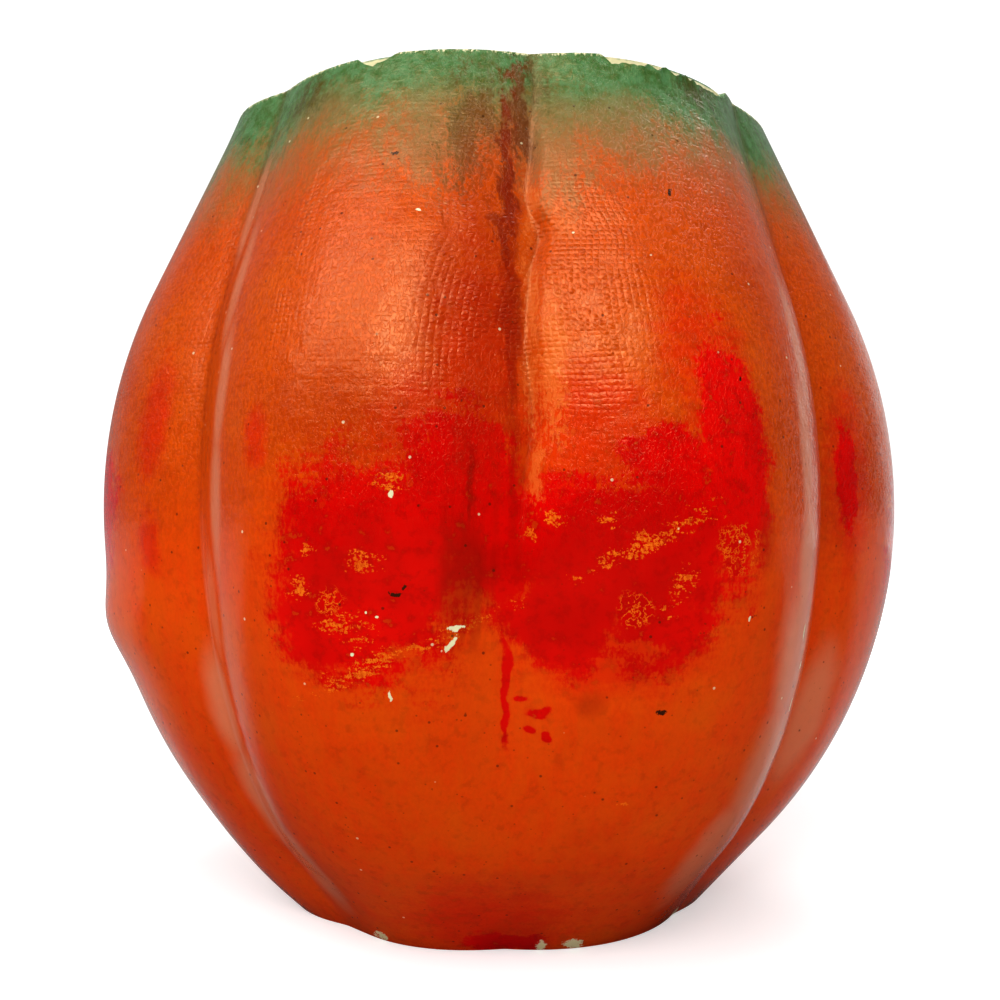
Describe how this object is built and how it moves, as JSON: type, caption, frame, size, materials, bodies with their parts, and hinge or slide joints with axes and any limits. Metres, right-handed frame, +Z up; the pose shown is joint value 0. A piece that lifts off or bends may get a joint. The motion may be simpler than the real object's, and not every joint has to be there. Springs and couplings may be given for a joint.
{
  "type": "tomato pincushion",
  "caption": "Lobed tomato-shaped pincushion: painted cloth gores over a moulded pulp shell filled with sawdust, with a round velvet cushion for pins set in its mouth.",
  "frame": {"origin": "centre of the resting face, under the tomato", "axes": "+Z up through the mouth; the groove in the middle of the pictured side faces -Y; +X to the right of that side"},
  "size_m": [0.0744, 0.0741, 0.0785],
  "materials": {
    "pulp": "rough moulded pulp with a pale ground, painted green at the rim",
    "painted_cloth": "woven cloth under glossy worn oil paint, orange and red, green at the rim",
    "strip_paper": "pasted brown paper",
    "pasteboard": "matt grey-brown board",
    "sawdust": "packed loose sawdust",
    "wool": "matted wool",
    "velvet": "short worn pile",
    "thread": "waxed linen thread"
  },
  "bodies": {
    "root": {"right_shell": "pulp", "left_shell": "pulp", "front_right_gore": "painted_cloth", "right_gore": "painted_cloth", "rear_right_gore": "painted_cloth", "rear_gore": "painted_cloth", "rear_left_gore": "painted_cloth", "left_gore": "painted_cloth", "front_left_gore": "painted_cloth", "joint_strip_front": "strip_paper", "joint_strip_rear": "strip_paper", "base_disc": "pasteboard", "sawdust_filling": "sawdust", "cushion_stuffing": "wool", "cushion_cover": "velvet", "gathering_thread": "thread"}
  },
  "joints": []
}
